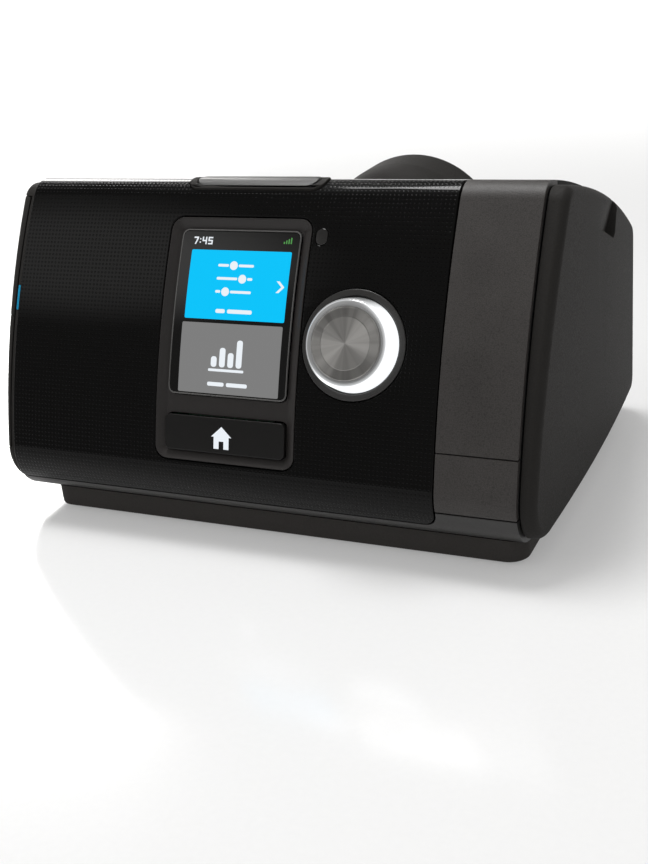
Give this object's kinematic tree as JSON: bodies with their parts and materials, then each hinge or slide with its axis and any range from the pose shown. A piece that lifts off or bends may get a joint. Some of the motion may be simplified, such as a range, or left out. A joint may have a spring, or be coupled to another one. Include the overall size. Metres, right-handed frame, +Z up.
{
  "type": "cpap machine",
  "caption": "Bedside positive airway pressure machine with a sunken colour screen, a push-and-turn dial, a start button on the crest and a heated water tub that slides out of its right end",
  "frame": {"origin": "middle of the bounding box in plan, on the surface that the feet stand on", "axes": "+X to the right along the front, seen from the front; +Y towards the rear; +Z up; the front with the screen faces -Y"},
  "size_m": [0.205, 0.15, 0.1163],
  "materials": {
    "fascia_gloss": "piano black, polished",
    "case_matte": "fine texture, warm dark grey",
    "strip_matte": "fine texture",
    "button_matte": "satin",
    "lens_glass": "clear hard window",
    "display_lit": "lit colour panel",
    "skirt_lit": "translucent, lit from within",
    "dial_metal": "spun and anodised",
    "steel": "turned",
    "inner_plastic": "moulded",
    "pale_plastic": "moulded",
    "clear_tub": "clear",
    "soft_rubber": "soft",
    "foam_pad": "open foam",
    "circuit": "solder mask",
    "chip_black": "moulded"
  },
  "bodies": {
    "root": {"adapter_connector": "inner_plastic", "air_filter": "foam_pad", "base_plinth": "case_matte", "bay_liner": "inner_plastic", "blower_cradle": "inner_plastic", "board_chips": "chip_black", "card_slot": "inner_plastic", "dial_encoder": "inner_plastic", "dial_ring": "button_matte", "display_module": "display_lit", "flow_riser": "inner_plastic", "flow_sensor": "chip_black", "front_carrier": "inner_plastic", "front_fascia": "fascia_gloss", "heater_insulator": "inner_plastic", "heater_plate": "dial_metal", "heater_springs": "steel", "hinge_pins": "steel", "home_switch": "inner_plastic", "left_side_cover": "case_matte", "light_sensor_lens": "lens_glass", "lower_case": "case_matte", "lower_plate": "strip_matte", "machine_screws": "steel", "main_board": "circuit", "memory_card": "chip_black", "motor_bearings": "steel", "motor_stator": "steel", "muffler_box": "inner_plastic", "muffler_foam": "foam_pad", "outlet_connector": "inner_plastic", "outlet_gallery": "inner_plastic", "power_inlet": "inner_plastic", "rubber_feet": "soft_rubber", "screen_lens": "lens_glass", "screen_tray": "fascia_gloss", "start_surround": "case_matte", "start_switch": "inner_plastic", "strip_panel": "strip_matte", "upper_case": "case_matte", "volute_lower": "pale_plastic", "volute_upper": "pale_plastic"},
    "dial_carrier": {"dial_plunger": "inner_plastic"},
    "dial": {"dial_skirt": "skirt_lit", "dial_face": "dial_metal", "dial_shaft": "steel"},
    "home_key_body": {"home_key": "fascia_gloss"},
    "start_button_body": {"start_button": "button_matte"},
    "tub": {"tub_base": "clear_tub", "tub_plate": "steel", "tub_seal": "soft_rubber", "tub_lid": "clear_tub", "tub_end_cover": "case_matte"},
    "card_door": {"card_cover": "case_matte"},
    "adapter_door": {"adapter_cover": "case_matte"},
    "filter_door": {"filter_cover": "case_matte"},
    "clip": {"cable_clip": "case_matte"},
    "rotor": {"impeller": "pale_plastic", "motor_shaft": "steel", "motor_rotor": "steel"}
  },
  "joints": [
    {"name": "dial_press", "type": "slide", "parent": "root", "child": "dial_carrier", "axis": [0, 0.9084, -0.418], "range_m": [0, 0.0008], "stiffness_N_per_m": 600, "springref_m": -0.001},
    {"name": "dial_turn", "type": "hinge", "parent": "dial_carrier", "child": "dial", "pos_m": [0.0381, -0.05928, 0.0699], "axis": [0, 0.9084, -0.418], "continuous": true},
    {"name": "home_key_press", "type": "slide", "parent": "root", "child": "home_key_body", "axis": [0, 0.9101, -0.4143], "range_m": [0, 0.0008], "stiffness_N_per_m": 400, "springref_m": -0.001},
    {"name": "start_button_press", "type": "slide", "parent": "root", "child": "start_button_body", "axis": [0, 0.342, -0.9397], "range_m": [0, 0.0008], "stiffness_N_per_m": 400, "springref_m": -0.001},
    {"name": "tub_slide", "type": "slide", "parent": "root", "child": "tub", "axis": [1, 0, 0], "range_m": [0, 0.108]},
    {"name": "card_door_swing", "type": "hinge", "parent": "root", "child": "card_door", "pos_m": [-0.1011, -0.016, 0.09], "axis": [0, 0, -1], "range_deg": [0, 90]},
    {"name": "adapter_door_swing", "type": "hinge", "parent": "root", "child": "adapter_door", "pos_m": [-0.1011, -0.016, 0.05], "axis": [0, 0, -1], "range_deg": [0, 90]},
    {"name": "filter_door_swing", "type": "hinge", "parent": "root", "child": "filter_door", "pos_m": [-0.061, 0.0688, 0.0346], "axis": [-1, 0, 0], "range_deg": [0, 90]},
    {"name": "clip_swing", "type": "hinge", "parent": "root", "child": "clip", "pos_m": [0.002, 0.0713, 0.0324], "axis": [1, 0, 0], "range_deg": [0, 95]},
    {"name": "blower_spin", "type": "hinge", "parent": "root", "child": "rotor", "pos_m": [-0.05, 0.008, 0.03], "axis": [0, 0, 1], "continuous": true}
  ]
}
